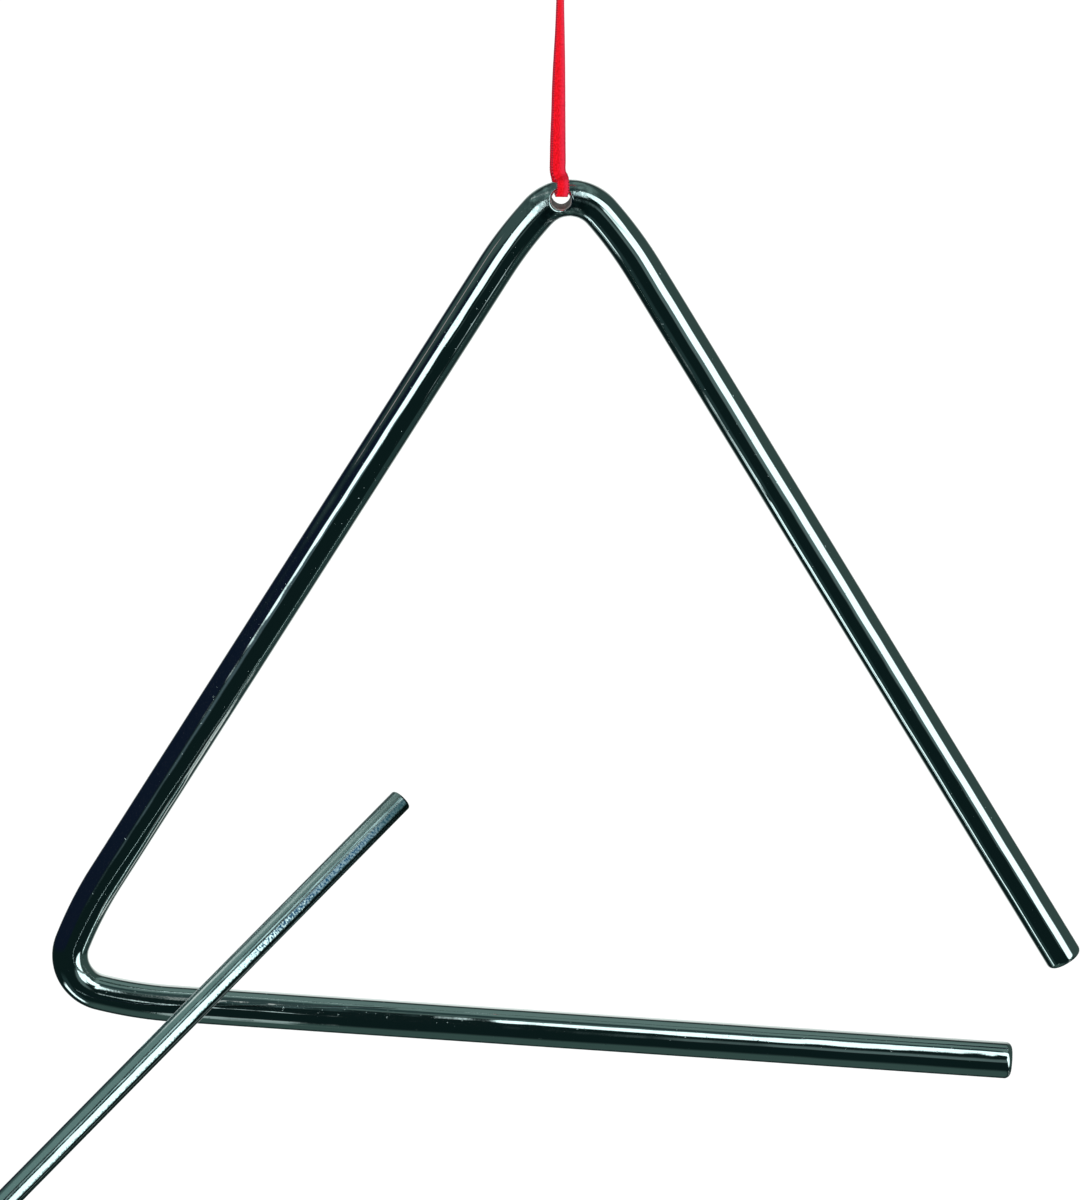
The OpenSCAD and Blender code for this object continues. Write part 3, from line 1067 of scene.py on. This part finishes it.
def patch(az, el, corners, soft):
    """How much of a patch covers each direction. Corners run anticlockwise; soft is each edge's fade."""
    share = np.ones(az.shape)
    softs = soft if isinstance(soft, list) else [soft] * len(corners)
    for (a, b), (c, d), fade in zip(corners, corners[1:] + corners[:1], softs):
        inside = ((c - a) * (el - b) - (d - b) * (az - a)) / math.hypot(c - a, d - b)
        share = share * smooth(inside / fade + 0.5)
    return share


def lay(base, share, colour):
    return base + share[..., None] * (colour - base)


def studio_colours(az, el):
    """The dark studio round the object, with its banded ceiling, its lights and the paper behind."""
    made = np.zeros(az.shape + (3,)) + NIGHT
    bands = 1 + 0.12 * np.sin(2.6 * el + 1.5 * np.sin(0.11 * az)) * np.sin(0.9 * el + 1)
    made = lay(made, smooth((el - 44) / 16), CEILING * bands[..., None])
    made = lay(made, smooth((-52 - el) / 18), GROUND)
    for corners, soft, colour in WALLS:
        made = lay(made, patch(az, el, corners, soft), colour)
    behind = smooth((np.abs(az) - 140) / 42) * smooth((43 - np.abs(el)) / 20)
    made = lay(made, behind, PAPER)
    for corners, soft, colour in LIGHTS:
        made = lay(made, patch(az, el, corners, soft), colour)
    return made


def make_dome(material):
    """The dome that carries the studio's light. The camera and the cloth's soft shading don't see it."""
    columns, rows = 576, 288
    az, el = np.meshgrid(np.linspace(-180, 180, columns + 1), np.linspace(-90, 90, rows + 1))
    points = DOME_R * np.stack(
        [
            np.sin(np.radians(az)) * np.cos(np.radians(el)),
            -np.cos(np.radians(az)) * np.cos(np.radians(el)),
            np.sin(np.radians(el)),
        ],
        -1,
    )
    colours = np.concatenate([studio_colours(az, el), np.ones(az.shape + (1,))], -1)
    faces = skin(rows + 1, columns + 1, closed=False)
    mesh = bpy.data.meshes.new("dome")
    mesh.from_pydata([tuple(p) for p in points.reshape(-1, 3)], [], faces)
    mesh.materials.append(material)
    layer = mesh.attributes.new("glow", "FLOAT_COLOR", "POINT")
    layer.data.foreach_set("color", colours.astype(np.float32).ravel())
    dome = bpy.data.objects.new("dome", mesh)
    dome.location = DOME_MIDDLE
    bpy.context.scene.collection.objects.link(dome)
    dome.visible_camera = False
    dome.visible_diffuse = False
    dome.visible_shadow = False
    dome.visible_transmission = False


def make_floor(material):
    corners = [(x, y, FLOOR_Z) for x, y in ((-1, -1), (1, -1), (1, 1), (-1, 1))]
    points = [(x * FLOOR_REACH, y * FLOOR_REACH, z) for x, y, z in corners]
    mesh = bpy.data.meshes.new("floor")
    mesh.from_pydata(points, [], [(0, 1, 2, 3)])
    mesh.materials.append(material)
    floor = bpy.data.objects.new("floor", mesh)
    bpy.context.scene.collection.objects.link(floor)
    floor.visible_glossy = False


def make_world():
    """Soft white light, a little stronger from above and from the right, and a plain white background."""
    world = bpy.data.worlds.new("studio")
    bpy.context.scene.world = world
    world.use_nodes = True
    tree = world.node_tree
    tree.nodes.clear()
    way = node(tree, "ShaderNodeTexCoord").outputs["Generated"]
    x, y, z = node(tree, "ShaderNodeSeparateXYZ", {0: way}).outputs
    strength = remap(tree, plus(tree, times(tree, x, 0.6), z), -0.8, 1.2, 0.82, 1.28)
    soft = node(tree, "ShaderNodeBackground", {"Color": (1, 1, 1, 1), "Strength": strength})
    plain = node(tree, "ShaderNodeBackground", {"Color": (1, 1, 1, 1), "Strength": 1.0})
    to_camera = node(tree, "ShaderNodeLightPath").outputs["Is Camera Ray"]
    shown = node(tree, "ShaderNodeMixShader", {0: to_camera, 1: soft.outputs[0], 2: plain.outputs[0]})
    node(tree, "ShaderNodeOutputWorld", {"Surface": shown.outputs[0]})


def make_camera():
    at = CAMERA_AT * MM
    ahead = (CAMERA_TARGET * MM - at).normalized()
    side = ahead.cross(Vector((0, 0, 1))).normalized()
    top = side.cross(ahead)
    right = side * cos(CAMERA_ROLL) + top * sin(CAMERA_ROLL)
    up = top * cos(CAMERA_ROLL) - side * sin(CAMERA_ROLL)
    data = bpy.data.cameras.new("camera")
    data.sensor_width = SENSOR_W
    data.lens = LENS
    data.clip_end = 100
    camera = bpy.data.objects.new("camera", data)
    camera.matrix_world = Matrix((right, up, -ahead)).transposed().to_4x4()
    camera.location = at
    bpy.context.scene.collection.objects.link(camera)
    bpy.context.scene.camera = camera


# Making
make_camera()
SATIN = satin()

strand_places, strand_length = spline(STRAND_ROUTE)
strand_places[:, 0] += HOLE_MIDDLE[0]
strand_places[:, 2] += HOLE_MIDDLE[1]
strands = make_ribbon("ribbon_strands", strand_places, SATIN, gather=gathered_at_hole)
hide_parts("hanging_ribbon")

loop_route = LOOP_SIDE + [(-x, y, z, turn) for x, y, z, turn in LOOP_SIDE[-2::-1]]
loop_places, loop_length = spline(loop_route)
loop = make_ribbon("finger_loop_ribbon", loop_places, SATIN, cup=LOOP_CUP)
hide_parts("finger_loop")

knot = make_knot(SATIN)
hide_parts("ribbon_knot")
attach(knot, "knot")

triangle = make_rod([chrome(), bore_steel()])
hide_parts("triangle_rod")
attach(triangle, "triangle")

beater = make_beater(beater_steel())
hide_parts("beater")
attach(beater, "beater")

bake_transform(strands)
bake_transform(loop)

make_floor(floor_white())
make_dome(dome_glow())
make_world()
bpy.context.scene.view_settings.view_transform = "Standard"
